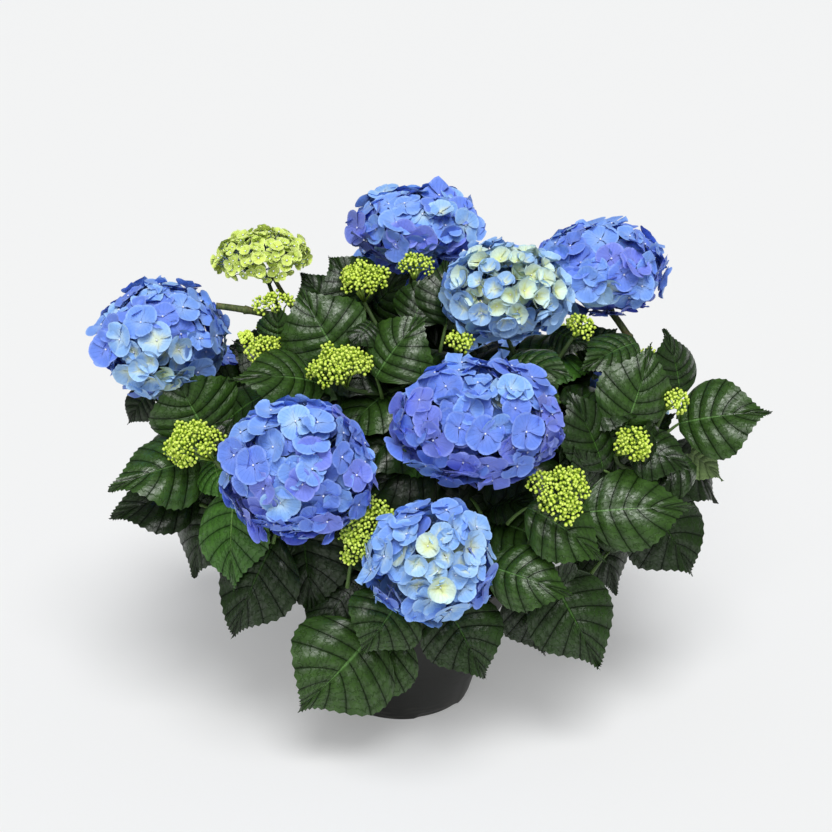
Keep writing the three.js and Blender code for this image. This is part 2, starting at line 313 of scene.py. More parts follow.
def leaf_outline(s):
    """Half width along the leaf, 1 at its widest: rounded below and drawn out to a tip."""
    body = np.sin(math.pi * s ** 0.78) ** 0.78
    return body * (0.14 + 0.86 * smooth(-0.04, 0.46, 1 - s)) * 1.1


def leaf_blade(length, width, bend, fold, sway, rows, steps):
    """A leaf along +Y from the origin, facing +Z. bend and fold are angles, sway twists the margins."""
    side = np.concatenate([-steps[:0:-1], steps])[None, :]
    out = np.abs(side)
    run = np.linspace(0.012, 0.994, rows + 1)[:, None]
    edge = 1 - (1 - run) ** VEIN_SWEEP
    half = 0.5 * width * leaf_outline(edge)
    tooth = (np.arange(rows + 1) % 2)[:, None] * TOOTH * length * (edge < 0.97)
    at_margin = out > 0.99
    x = side * half + np.sign(side) * at_margin * tooth * 0.8
    y = length * (run + (edge - run) * (0.45 * out + 0.55 * out ** 2)) + at_margin * tooth
    swell = np.abs(np.sin(math.pi * run * LEAF_VEINS)) ** 0.7 * np.sin(math.pi * out ** 0.8) ** 0.7
    z = QUILT * length * swell * smooth(0, 0.1, half / width)
    z = z + np.abs(x) * math.tan(fold) - 0.9 * x * x / width
    z = z + out ** 3 * length * 0.035 * np.sin(run * 9 + sway * 5 + side * 2)
    z = z + side * half * 0.35 * sway * run
    turn = bend * y / length
    reach = length / bend * np.sin(turn)
    drop = -length / bend * (1 - np.cos(turn))
    points = np.stack([x, reach + z * np.sin(turn), drop + z * np.cos(turn)], axis=-1)
    columns = side.size
    a = (np.arange(rows) * columns)[:, None] + np.arange(columns - 1)
    faces = np.stack([a, a + 1, a + columns + 1, a + columns], axis=-1).reshape(-1, 4)
    flat = np.stack(np.broadcast_arrays(0.5 + side * 0.5, run), axis=-1).reshape(-1, 2)
    return points.reshape(-1, 3), (faces,), flat


def set_leaf(leaves, base, tip, facing, width, bend, fold, sway, look, fine=True):
    """Puts one leaf between base and tip, its upper face towards facing."""
    chord = tip - base
    reach = np.linalg.norm(chord)
    length = reach / (math.sin(bend / 2) / (bend / 2))
    rows, steps = (FINE_ROWS, FINE_STEPS) if fine else (PLAIN_ROWS, PLAIN_STEPS)
    points, faces, flat = leaf_blade(length, width, bend, fold, sway, rows, steps)
    own_along = unit([0, math.sin(bend), -(1 - math.cos(bend))])
    own_side = np.array([1.0, 0, 0])
    own_up = np.cross(own_side, own_along)
    along = unit(chord)
    up = unit(facing - along * np.dot(facing, along))
    side = np.cross(along, up)
    turn = np.stack([side, along, up], axis=1) @ np.stack([own_side, own_along, own_up])
    leaves.add(points @ turn.T + base, faces, flat, look)


# %% [markdown]
# ## The leaf's finish
#
# The blade is dark and waxy. Its veins are sunk into it, and fine cross veins run like rungs between the
# side veins. The wax shines on the swellings and not in the grooves, so the veins stay dark and broad
# lights lie between them; the colour repeats this as painted light, a painted highlight on the swellings
# and painted shade in the grooves and cross veins. Five greens are dealt out leaf by leaf, and the
# shaded green is a darker copy, painted shade for leaves that lie in the crown's shadow.

# %% Leaf greens
LEAF_WAX = 0.8  # gloss over the swellings
LEAF_RELIEF = 2.4 * MM  # a little over the real depth, so that the quilting shows from afar
RUNGS = 5.5  # cross veins from midrib to margin


def leaf_finish(name, deep, light, rib, gloss):
    f = Finish(name, Specular_IOR_Level=0.16, Coat_Roughness=0.27)
    flat = f.map("leaf")
    side = (flat.part("X") * 2 - 1).size()
    mottle = f.noise(f.stretch(flat, (3.0, 4.5, 1.0)), 3.0)
    vein = (flat.part("Y") * LEAF_VEINS).near_whole()
    groove = 1 - vein.rise(0.0, 0.07)
    midrib = 1 - side.rise(0.008, 0.045)
    wander = f.noise(f.stretch(flat, (5.0, 8.0, 1.0)), 4.0, 2.0)
    rung = (side * RUNGS + wander * 2.2).near_whole()
    rung_line = 1 - rung.rise(0.0, 0.2)
    crackle = f.cells(f.stretch(flat, (11.0, 18.0, 1.0)), 1.5).rise(0.0, 0.3)
    pillow = (vein * 2.0) ** 0.5
    # painted highlight: the green is lighter on the swellings between the side veins
    green = (mottle.rise(0.3, 0.75) * 0.3 + pillow * 0.7).blend(deep, light)
    # painted shade: the green darkens to half the deep tone in the vein grooves and along the cross veins
    green = (groove * 0.6 + rung_line * 0.35).blend(green, tuple(c * 0.5 for c in deep))
    f.set("Base Color", (midrib * 0.8).blend(green, rib))
    f.set("Roughness", gloss + mottle * 0.1 + rung_line * 0.1 + groove * 0.2)
    f.set("Coat Weight", (1 - groove) * (1 - rung_line * 0.85) * (crackle * 0.6 + 0.4) * LEAF_WAX)
    height = pillow * 0.95 - groove * 0.15 - midrib * 0.6 - rung_line * 0.16 + crackle * 0.07
    f.relief(height, LEAF_RELIEF)
    return f


LEAF_GREENS = [
    leaf_finish("leaf_deep_green", colour("#112206"), colour("#274215"), colour("#46702c"), 0.27),
    leaf_finish("leaf_green", colour("#182e0a"), colour("#3a5a22"), colour("#64904a"), 0.25),
    leaf_finish("leaf_fresh_green", colour("#21460e"), colour("#467428"), colour("#7aa854"), 0.27),
    # painted shade: a darker copy of the greens, for leaves that lie in the crown's shadow
    leaf_finish("leaf_shaded_green", colour("#0d1e04"), colour("#1d340d"), colour("#33541e"), 0.31),
    leaf_finish("leaf_pale_green", colour("#7d9c5c"), colour("#9dba78"), colour("#b4cd90"), 0.5),
]
DEEP, GREEN, FRESH, SHADED, PALE = range(5)

# %% [markdown]
# ## Leaves that show
#
# The leaves that break the crown's outline or sit in the open are placed one by one: where the blade leaves
# its stalk, where its tip hangs, and how wide it is. The rest of the crown is grown by rule further on.

# %% Leaves in the open
# base (mm), tip (mm), width (mm), look, bend from base to tip (radians)
OPEN_LEAVES = [
    ((-196, -64, 304), (-294, -110, 288), 76, GREEN, 0.7),
    ((-205, -44, 260), (-304, -60, 234), 70, SHADED, 0.6),
    ((-196, -56, 326), (-232, -46, 396), 88, GREEN, 0.9),
    ((-262, 10, 352), (-290, 10, 311), 38, SHADED, 0.5),
    ((-80, -62, 384), (-169, -106, 404), 66, GREEN, 1.1),
    ((-126, -14, 404), (-125, -6, 452), 44, GREEN, 0.6),
    ((-60, -46, 402), (-104, -12, 470), 84, GREEN, 0.7),
    ((-26, -66, 392), (26, -34, 448), 74, GREEN, 0.8),
    ((-36, 22, 440), (-76, 40, 488), 66, DEEP, 0.7),
    ((-70, 26, 430), (-106, 40, 470), 46, DEEP, 0.6),
    ((10, -14, 430), (32, 18, 472), 52, DEEP, 0.7),
    ((46, -14, 430), (44, 26, 490), 58, DEEP, 0.7),
    ((106, -56, 404), (170, -90, 402), 50, GREEN, 0.8),
    ((246, 20, 400), (182, -24, 384), 52, GREEN, 0.7),
    ((224, -64, 330), (254, -30, 418), 74, GREEN, 0.6),
    ((290, -4, 350), (272, 18, 416), 64, DEEP, 0.6),
    ((288, -14, 322), (384, -22, 338), 80, GREEN, 0.6),
    ((232, -64, 322), (292, -84, 300), 54, DEEP, 0.8),
    ((284, 2, 290), (338, 8, 220), 66, SHADED, 0.6),
    ((182, -112, 266), (296, -104, 268), 76, GREEN, 0.7),
    ((250, -50, 256), (306, -62, 168), 90, SHADED, 0.5),
    ((124, -138, 284), (202, -156, 232), 62, GREEN, 1.0),
    ((84, -150, 226), (172, -176, 204), 60, GREEN, 1.0),
    ((148, -128, 206), (202, -146, 105), 84, DEEP, 0.6),
    ((120, -96, 180), (150, -106, 98), 62, SHADED, 0.5),
    ((200, -56, 236), (224, -70, 150), 66, SHADED, 0.5),
    ((42, -146, 188), (86, -168, 106), 78, DEEP, 0.8),
    ((-26, -148, 150), (-104, -174, 73), 108, GREEN, 0.8),
    ((2, -158, 198), (-40, -184, 145), 74, GREEN, 1.2),
    ((2, -142, 146), (-42, -150, 66), 64, GREEN, 0.6),
    ((-166, -104, 290), (-168, -134, 188), 70, FRESH, 0.7),
    ((-198, -58, 262), (-216, -70, 170), 76, SHADED, 0.5),
    ((-124, -122, 244), (-173, -134, 134), 82, SHADED, 0.5),
    ((-100, -98, 260), (-88, -120, 152), 92, SHADED, 0.5),
    ((206, -78, 296), (166, -62, 380), 60, DEEP, 0.6),
    ((196, -70, 262), (172, -92, 330), 52, DEEP, 0.6),
    ((158, 26, 410), (194, 0, 398), 44, DEEP, 0.6),
    ((-150, -30, 352), (-186, -70, 330), 60, SHADED, 0.8),
    ((-190, -80, 312), (-172, -120, 280), 44, FRESH, 0.8),
    ((300, 10, 282), (342, 0, 250), 40, PALE, 0.6),
    ((-30, -30, 440), (-50, -52, 420), 40, DEEP, 0.7),
]
SUNNY = np.array([0.0, -0.72, 0.66])  # the near leaves turn their faces up and to the front
CROWN_HEART = np.array([0.0, 0.0, 250.0]) * MM


def spiral(count):
    """Directions spread evenly over a sphere."""
    k = np.arange(count) + 0.5
    z = 1 - 2 * k / count
    turn = k * math.pi * (3 - math.sqrt(5))
    r = np.sqrt(1 - z * z)
    return np.stack([r * np.cos(turn), r * np.sin(turn), z], axis=1)


leaf_rng = np.random.default_rng(7)
near_leaves = Harvest("leaf", LEAF_GREENS)
twig_ends = []
for base, tip, width, look, bend in OPEN_LEAVES:
    base = np.array(base) * MM
    tip = np.array(tip) * MM
    outward = unit((base + tip) / 2 - CROWN_HEART)
    facing = unit(SUNNY + 0.45 * outward + 0.12 * leaf_rng.normal(size=3))
    fold = leaf_rng.uniform(0.16, 0.34)
    sway = leaf_rng.uniform(-0.5, 0.5)
    set_leaf(near_leaves, base, tip, facing, width * MM, bend, fold, sway, look)
    twig_ends.append((base, unit(tip - base)))
print("leaves in the open:", len(OPEN_LEAVES))

# %% [markdown]
# ## Leaves grown by rule
#
# Everywhere else a leaf starts inside one of the frame's masses and reaches out, drooping a little, with its
# face to the sky and outward. It is kept only where its tip and its margins stay in the crown and clear of
# the blooms, so the outline and the gaps between the boughs stay as the frame has them.

# %% Blooms' places, and the crown as a surface to test against
LEAF_MASSES = sorted(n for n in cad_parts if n.startswith("leaves_"))
BLOOM_NAMES = sorted(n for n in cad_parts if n.startswith("bloom_"))
BUD_NAMES = sorted(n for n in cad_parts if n.startswith("buds_"))
bloom_places = {name: node_box(name) for name in BLOOM_NAMES}
bud_places = {name: node_box(name) for name in BUD_NAMES}


def surface_of(names):
    """One search tree over the faces of several frame nodes."""
    corners, faces = [], []
    for name in names:
        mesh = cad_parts[name].data
        first = len(corners)
        corners += [v.co.copy() for v in mesh.vertices]
        faces += [[first + i for i in p.vertices] for p in mesh.polygons]
    return BVHTree.FromPolygons(corners, faces)


crown = surface_of(LEAF_MASSES)
MARGIN_OUT = 3 * MM  # a grown leaf may pass the masses' surface by this much
INNER_HEART = np.array([0.0, 0.0, 270.0]) * MM  # between the masses the crown is leafy too
INNER_HALF = np.array([150.0, 120.0, 95.0]) * MM
SKYWARD = Vector((0.21, 0.13, 0.97)).normalized()
POT_CLEAR = np.array([132.0, 158.0]) * MM  # radius and height that leaves keep out of


def in_crown(point):
    """True inside the foliage's masses, just outside them, or in the leafy space between them.

    A ray from inside a closed surface leaves it through an odd number of walls.
    """
    if np.sum(((point - INNER_HEART) / INNER_HALF) ** 2) < 1:
        return True
    if crown.find_nearest(Vector(point))[3] < MARGIN_OUT:
        return True
    walls = 0
    at = Vector(point)
    while (hit := crown.ray_cast(at, SKYWARD))[0] is not None:
        walls += 1
        at = hit[0] + SKYWARD * 0.01 * MM
    return walls % 2 == 1


def in_bloom(point, grow=1.0):
    """True inside any bloom, its half sizes multiplied by grow."""
    return any(np.sum(((point - c) / (h * grow)) ** 2) < 1 for c, h in bloom_places.values())


def in_pot(point):
    return point[2] < POT_CLEAR[1] and np.hypot(point[0], point[1]) < POT_CLEAR[0]


# %% [markdown]
# Each mass is tried at random until it holds its leaves. A leaf is probed at its tip and both margins, and
# two leaves' middles keep a short distance, so that they don't lie in one another.

# %% Growing them
TRIES_PER_MASS = 260
LEAVES_PER_MASS = 19
LEAF_GAP = 26 * MM
FRONT = 20 * MM  # leaves that start before this turn to the front, and are joined apart
far_leaves = Harvest("leaf", LEAF_GREENS)
grown = 0
for mass in LEAF_MASSES:
    heart, half = node_box(mass)
    kept = []
    for _ in range(TRIES_PER_MASS):
        if len(kept) >= LEAVES_PER_MASS:
            break
        start = heart + leaf_rng.uniform(-0.62, 0.62, 3) * half
        way = unit(unit(start - CROWN_HEART) * (1, 1, 0.35) + 0.55 * leaf_rng.normal(size=3) - 0.28 * UP)
        reach = leaf_rng.uniform(70, 108) * MM
        tip = start + way * reach
        facing = unit(unit(start - CROWN_HEART) * (0.6, 0.6, 0.3) + 0.85 * UP + 0.2 * leaf_rng.normal(size=3))
        if start[1] < FRONT:
            facing = unit(facing + 0.9 * SUNNY)
        width = reach * leaf_rng.uniform(0.66, 0.78)
        flank = unit(np.cross(way, facing)) * width * 0.45
        middle = start + way * reach * 0.45
        far = start + way * reach * 0.75
        probes = [tip, middle + flank, middle - flank, far + flank * 0.7, far - flank * 0.7]
        if not all(in_crown(p) for p in probes):
            continue
        if any(in_bloom(p, 0.97) or in_pot(p) for p in [*probes, start, middle]):
            continue
        if any(np.linalg.norm(middle - other) < LEAF_GAP for other in kept):
            continue
        kept.append(middle)
        look = leaf_rng.choice([DEEP, GREEN, SHADED, FRESH], p=[0.4, 0.3, 0.24, 0.06])
        bend = leaf_rng.uniform(0.5, 1.1)
        fold = leaf_rng.uniform(0.14, 0.34)
        sway = leaf_rng.uniform(-0.7, 0.7)
        harvest = near_leaves if start[1] < FRONT else far_leaves
        set_leaf(harvest, start, tip, facing, width, bend, fold, sway, look, fine=grown % 2 == 0)
        twig_ends.append((start, way))
        grown += 1
print("leaves grown by rule:", grown)

# %% [markdown]
# Deep in the crown the leaves are darker and simpler: their darker green is painted shade. Some are placed
# one by one to close the gaps between blooms, where a real plant is dark with leaves and not open to the
# room behind. The rest fill the middle at random, kept where they stay inside the crown and clear of blooms
# and pot.

# %% Shaded leaves deep in the crown
# base (mm), tip (mm), width (mm)
BEHIND_BLOOMS = [
    ((40, -50, 300), (-50, -72, 262), 78),
    ((-60, -40, 262), (16, -66, 230), 78),
    ((70, -66, 262), (110, -76, 190), 76),
    ((-20, -30, 330), (-44, -70, 268), 62),
    ((96, -50, 300), (150, -90, 250), 70),
    ((-110, -40, 280), (-50, -70, 220), 74),
    ((110, -70, 300), (170, -100, 262), 62),
    ((40, -80, 200), (-30, -92, 168), 74),
    ((-40, 60, 410), (10, 40, 470), 66),
    ((0, 70, 400), (-50, 60, 462), 60),
    ((-150, 30, 310), (-206, 34, 372), 66),
    ((-130, 40, 370), (-184, 30, 392), 56),
    ((150, 30, 330), (206, 20, 372), 62),
    ((240, 30, 270), (290, 16, 322), 62),
    ((-90, 20, 420), (-60, 50, 470), 60),
    ((-40, -108, 192), (-98, -130, 124), 62),
    ((-120, 20, 372), (-178, 26, 400), 64),
    ((190, 40, 370), (226, 30, 412), 54),
]
for base, tip, width in BEHIND_BLOOMS:
    base, tip = np.array(base) * MM, np.array(tip) * MM
    set_leaf(near_leaves, base, tip, SUNNY, width * MM, 0.6, 0.2, 0.2, SHADED, fine=False)
    twig_ends.append((base, unit(tip - base)))
DEEP_LEAVES = 60
DEEP_HALF = np.array([150, 70, 80])
DEEP_SHIFT = np.array([0, 25, -10])
for _ in range(DEEP_LEAVES):
    spot = INNER_HEART + leaf_rng.uniform(-1, 1, 3) * DEEP_HALF * MM + DEEP_SHIFT * MM
    way = unit(leaf_rng.normal(size=3) * (1, 0.5, 0.8) + 0.25 * unit(spot - CROWN_HEART))
    facing = unit(SUNNY + 0.5 * leaf_rng.normal(size=3))
    reach = leaf_rng.uniform(78, 104) * MM
    start = spot - way * reach * 0.5
    probes = [start, spot, start + way * reach]
    if any(in_bloom(p, 0.9) or in_pot(p) or not in_crown(p) for p in probes):
        continue
    set_leaf(near_leaves, start, start + way * reach, facing, reach * 0.74, 0.7, 0.2, 0.1, SHADED, fine=False)
    twig_ends.append((start, way))

# %% [markdown]
# ## Leaves over the sides and back
#
# From outside, foliage is a shell of leaves that hang one over the next like tiles. Each cover leaf lies on
# the outside of its mass, its face outward and up and its tip down. The longest ones run out to the tips
# that the frame's far masses have.

# %% Cover leaves
cover_rng = np.random.default_rng(41)
COVER_SPACING = 41 * MM
FAR_MASSES = [n for n in LEAF_MASSES if node_box(n)[0][1] > 50 * MM]
NEAR_MASSES = [n for n in LEAF_MASSES if n not in FAR_MASSES]
TUCK_IN = 22 * MM  # the far masses' cover starts this much nearer the middle
WIDEST_HALF = 84 * MM
LOWEST = 50 * MM
FREE_BACK = 130 * MM  # behind this, cover leaves may pass the masses' surface


def frame_tips(name, heart, least=112 * MM, apart=58 * MM):
    """The far ends of a mass's long leaves, found among its corners."""
    corners = np.array([v.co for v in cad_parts[name].data.vertices])
    reach = np.linalg.norm(corners - heart, axis=1)
    tips = []
    for corner in corners[np.argsort(-reach)][: int(np.sum(reach > least))]:
        if all(np.linalg.norm(corner - other) > apart for other in tips):
            tips.append(corner)
    return tips


def cover_leaf(middle, face, way, reach, look):
    """A leaf centred on middle, looking along face and hanging along way."""
    way = unit(way - face * np.dot(way, face))
    start, tip = middle - way * reach * 0.5, middle + way * reach * 0.5
    side = np.cross(way, face) * reach * 0.3
    probes = [start, middle, tip, middle + side, middle - side]
    if any(in_bloom(p, 0.96) or in_pot(p) or p[2] < LOWEST for p in probes):
        return False
    if middle[1] < FREE_BACK and not all(in_crown(p) for p in probes[1:]):
        return False
    fold = cover_rng.uniform(0.12, 0.3)
    width = reach * cover_rng.uniform(0.68, 0.78)
    bend = cover_rng.uniform(0.5, 1.0)
    sway = cover_rng.uniform(-0.6, 0.6)
    set_leaf(far_leaves, start, tip, face, width, bend, fold, sway, look)
    twig_ends.append((start, unit(way + face)))
    return True


covers = 0
for mass in LEAF_MASSES:
    heart, half = node_box(mass)
    far = mass in FAR_MASSES
    if far:
        heart = heart - unit(heart - CROWN_HEART) * (1, 1, 0) * TUCK_IN
        half = np.minimum(half, WIDEST_HALF)
        for tip in frame_tips(mass, heart):
            base = heart + (tip - heart) * 0.3
            face = unit(unit(tip - CROWN_HEART) * 0.45 + 0.8 * UP + 0.12 * cover_rng.normal(size=3))
            sway = cover_rng.uniform(-0.5, 0.5)
            set_leaf(far_leaves, base, tip, face, 78 * MM, 0.8, 0.2, sway, GREEN)
            twig_ends.append((base, unit(tip - base)))
    outer = unit((heart - CROWN_HEART) * (1, 1, 0.6))
    for n in spiral(int(4 * math.pi * float(np.mean(half)) ** 2 / COVER_SPACING ** 2)):
        if n @ outer < -0.15 or (not far and n[1] < 0.2):
            continue
        face = unit(unit(n / half) + 0.55 * UP + 0.2 * cover_rng.normal(size=3))
        flow = n * (1, 1, 0) * 0.7 - 0.55 * UP + 0.45 * cover_rng.normal(size=3)
        middle = heart + n * half * cover_rng.uniform(0.72, 0.96)
        if middle[1] < -FRONT:
            continue
        look = cover_rng.choice([DEEP, GREEN, SHADED, FRESH], p=[0.35, 0.35, 0.22, 0.08])
        covers += cover_leaf(middle, face, flow, cover_rng.uniform(74, 100) * MM, look)
print("cover leaves:", covers)
near_leaves.join("near_leaves", *NEAR_MASSES, slot="leaf")
far_leaves.join("far_leaves", *FAR_MASSES, slot="leaf")

# %% [markdown]
# ## Petals and florets
#
# A mophead is a ball of sterile florets, each of four broad sepals round a bead. A sepal is a round grid
# drawn in to a claw at the middle. It leans so that one edge lies over its neighbour, and it opens as it
# ages: a young floret is a small pale cup, an old one is wide, flat and blue.

# %% Petal finish and colours
def petal_finish(name, core, body, rim):
    f = Finish(name, Roughness=0.62, Specular_IOR_Level=0.3, Sheen_Weight=0.15, Sheen_Roughness=0.4)
    flat = f.map("petal")
    across = flat.part("X") * 2 - 1
    along = flat.part("Y")
    cloud = f.noise(f.stretch(flat, (2.0, 2.0, 1.0)), 2.2, 2.0)
    fan = (across / (along + 0.28) * 2.6 + cloud * 0.7).near_whole()
    vein = 1 - fan.rise(0.0, 0.13)
    margin = ((across * across) + (along * 2 - 1) ** 2.0 - 0.55).rise(0.0, 0.5) * along.rise(0.3, 0.7)
    opened = (along + (cloud - 0.5) * 0.35).rise(0.02, 0.62)
    tint = opened.blend(core, body)
    tint = (margin * 0.55).blend(tint, rim)
    shade = tuple(c * 0.78 for c in body)
    f.set("Base Color", (vein * 0.24 * along.rise(0.15, 0.55)).blend(tint, shade))
    f.relief(cloud - vein * 0.3, 0.9 * MM, 0.8)
    return f


def bead_finish(name, tone, light):
    f = Finish(name, Roughness=0.5, Specular_IOR_Level=0.4)
    flat = f.map("petal")
    f.set("Base Color", flat.part("Y").rise(0.3, 0.9).blend(tone, light))
    return f


PETALS = [
    petal_finish("petal_violet", colour("#8290ec"), colour("#7688e8"), colour("#9aaaf6")),
    petal_finish("petal_deep_blue", colour("#7c98f0"), colour("#6a8cea"), colour("#94b0f8")),
    petal_finish("petal_blue", colour("#94b8f8"), colour("#78a2f2"), colour("#a0c4fb")),
    petal_finish("petal_sky", colour("#bcdcf8"), colour("#8cbaf7"), colour("#b0d4fc")),
    petal_finish("petal_pale", colour("#e2eed2"), colour("#a2caf6"), colour("#b4d8fb")),
    petal_finish("petal_cream", colour("#e2eca6"), colour("#d6eadc"), colour("#b4daf6")),
    petal_finish("petal_lime", colour("#e6f664"), colour("#e0f47c"), colour("#f8fec4")),
    bead_finish("floret_bead", colour("#8fa6dc"), colour("#eef2fb")),
    bead_finish("floret_stalk", colour("#5c7a52"), colour("#7d93b0")),
]
VIOLET, DEEP_BLUE, BLUE, SKY, PALE_BLUE, CREAM, LIME, BEAD, STALK = range(9)

# %% [markdown]
# Four sepals stand round the bead a quarter turn apart, each a little its own. Their cup closes as the
# floret is younger: the sepal curls up along its length and hollows across it, so that four make a bowl.
# Florets of the lower layer are half hidden, so they are coarser and go without a bead.

# %% Floret shape
def disc_grid(across):
    """A round patch as a square grid of across cells a side: its corners p, q and its faces."""
    line = np.linspace(-1, 1, across + 1)
    p, q = [g.ravel() for g in np.meshgrid(line, line, indexing="ij")]
    a = np.array([i * (across + 1) + j for i in range(across) for j in range(across)])
    return p, q, np.stack([a, a + 1, a + across + 2, a + across + 1], axis=1)


FULL_GRID = disc_grid(4)
PLAIN_GRID = disc_grid(3)
BEAD_RING = 6


def sepal(grid, size, cup, curl, lean, wave, broad):
    """One sepal reaching along +Y from the floret's middle, opening upward."""
    p, q, faces = grid
    claw = 0.3 + 0.7 * smooth(-1.0, -0.25, p)
    x = q * np.sqrt(1 - p ** 2 / 2) * claw * 0.5 * broad
    y = 0.52 + p * np.sqrt(1 - q ** 2 / 2) * 0.5
    turn = cup + curl * y
    out = (np.sin(turn) - math.sin(cup)) / curl
    rise = (math.cos(cup) - np.cos(turn)) / curl
    hollow = (0.12 + 0.62 * max(curl, 0)) * x * x
    out = out - hollow * np.sin(turn)
    z = rise + hollow * np.cos(turn) + lean * x + wave * 0.045 * np.sin(7 * x + 5 * y)
    flat = np.stack([q * 0.5 + 0.5, p * 0.5 + 0.5], axis=1)
    return np.stack([x, out, z], axis=1) * size, (faces,), flat


def bead(radius, height):
    """A small round bead of two rings and two poles, its lowest pole buried."""
    k = np.arange(BEAD_RING) / BEAD_RING * 2 * math.pi
    rings = [np.stack([np.cos(k) * r, np.sin(k) * r, np.full(BEAD_RING, h)], axis=1)
             for r, h in ((0.85, -0.4), (0.85, 0.45))]
    points = np.concatenate([[[0, 0, -1.0]], *rings, [[0, 0, 1.0]]]) * radius + [0, 0, height]
    n = BEAD_RING
    a = np.arange(n)
    b = (a + 1) % n
    low = np.stack([0 * a, 1 + b, 1 + a], axis=1)
    belt = np.stack([1 + a, 1 + b, 1 + n + b, 1 + n + a], axis=1)
    high = np.stack([1 + n + a, 1 + n + b, 0 * a + 2 * n + 1], axis=1)
    up = np.concatenate([[0], np.full(n, 0.35), np.full(n, 0.75), [1]])
    flat = np.stack([np.full(len(up), 0.5), up], axis=1)
    return points, (low, belt, high), flat


def frame_of(normal, spin):
    """Three axes with the last along normal, turned round it by spin."""
    side = unit(np.cross(normal, UP if abs(normal[2]) < 0.95 else np.array([1.0, 0, 0])))
    other = np.cross(normal, side)
    first = side * math.cos(spin) + other * math.sin(spin)
    return np.stack([first, np.cross(normal, first), normal])


def set_floret(blossom, rng, place, normal, size, age, look, inner=False):
    """One floret; age runs from 0, a closed cup, to 1, wide open."""
    axes = frame_of(normal, rng.uniform(0, 2 * math.pi))
    cup = 0.14 + 0.16 * (1 - age)
    for k in range(4):
        turn = k * math.pi / 2 + rng.normal(0, 0.06)
        own = size * rng.uniform(0.92, 1.06)
        opening = cup + rng.normal(0, 0.12)
        curl = 1.1 * (1 - age) - 0.16 + rng.normal(0, 0.18)
        if abs(curl) < 0.05:
            curl = 0.05
        grid = PLAIN_GRID if inner else FULL_GRID
        wave = rng.normal() * 1.4
        broad = rng.uniform(1.15, 1.36) + 0.35 * (1 - age)
        shape, faces, flat = sepal(grid, own, opening, curl, 0.1, wave, broad)
        c, s = math.cos(turn), math.sin(turn)
        spun = shape @ np.array([[c, s, 0], [-s, c, 0], [0, 0, 1]])
        blossom.add(spun @ axes + place, faces, flat, look)
    if inner:
        return
    points, faces, flat = bead(1.3 * MM * (0.7 + 0.3 * age), 1.0 * MM)
    blossom.add(points @ axes + place, faces, flat, BEAD)


# %% [markdown]
# ## The mopheads
#
# Florets sit over each bloom in a sunflower spiral, a little uneven in tilt and depth, and a second sparser
# layer fills the dark gaps below. A bloom ripens from its rim, so each has a young middle of its own size,
# facing its own way. Forked stalks gather the florets down to the bloom's foot.

# %% Bloom plan
# foot: which way the bloom joins the plant; young: which way its youngest florets face; reach: how far they
# spread; mix: shares of violet, deep blue, blue and sky among its ripe florets
BLOOM_PLAN = {
    "bloom_left": ((0.5, 0.8, -0.4), (0.05, -0.95, -0.2), 0.3, (0.05, 0.25, 0.45, 0.25)),
    "bloom_top": ((0, -0.1, -1), (0.3, -0.6, 0.6), 0.005, (0.2, 0.3, 0.4, 0.1)),
    "bloom_pale": ((-0.1, 0.4, -1), (0.1, -0.8, 0.6), 1.0, (0, 0.05, 0.25, 0.7)),
    "bloom_right": ((-0.1, 0.2, -1), (0.0, -0.9, -0.4), 0.08, (0.2, 0.35, 0.4, 0.05)),
    "bloom_front_left": ((0.3, 1, -0.2), (0.6, -0.7, 0.2), 0.005, (0.3, 0.35, 0.3, 0.05)),
    "bloom_middle": ((-0.1, 1, -0.3), (0.4, -0.6, 0.8), 0.05, (0.5, 0.35, 0.15, 0)),
    "bloom_front": ((0, 1, 0.1), (0.05, -0.85, 0.4), 0.4, (0.0, 0.1, 0.45, 0.45)),
    "bloom_back_upper": ((0, -0.6, -0.8), (0, 0.6, 0.8), 0.2, (0.2, 0.3, 0.4, 0.1)),
    "bloom_back_right": ((-0.3, -1, -0.2), (0.2, 0.9, 0.3), 0.3, (0.2, 0.3, 0.4, 0.1)),
    "bloom_back_left": ((0.3, -1, -0.2), (-0.2, 0.9, 0.5), 0.08, (0.5, 0.3, 0.2, 0)),
    "bloom_side_right": ((-1, -0.6, -0.2), (0.8, 0.4, 0.4), 0.8, (0, 0.1, 0.4, 0.5)),
    "bloom_side_left": ((1, -0.6, -0.2), (-0.8, 0.4, 0.4), 0.3, (0.2, 0.3, 0.4, 0.1)),
}
FLORET_SPACING = 25 * MM
YOUNG_SPACING = 18.5 * MM
FLORET_SIZE = 18.5 * MM
YOUNG_SIZE = 13 * MM
YOUNG = 0.66  # a floret of less age than this is a young one
LAYERS = ((1.0, 0.89), (0.62, 0.72))  # share of the florets, and depth as a share of the bloom's half size
FOOT_BARE = 0.87  # no florets nearer the foot's direction than this, as a cosine
FORKS = 7
# some blooms have slumped a little from where the frame has them: shift in mm
SLUMP = {
    "bloom_left": (5, 0, -7),
    "bloom_right": (-6, 0, 0),
    "bloom_front_left": (4, 0, 3),
    "bloom_pale": (-2, 0, -5),
    "bloom_front": (0, 0, 7),
}


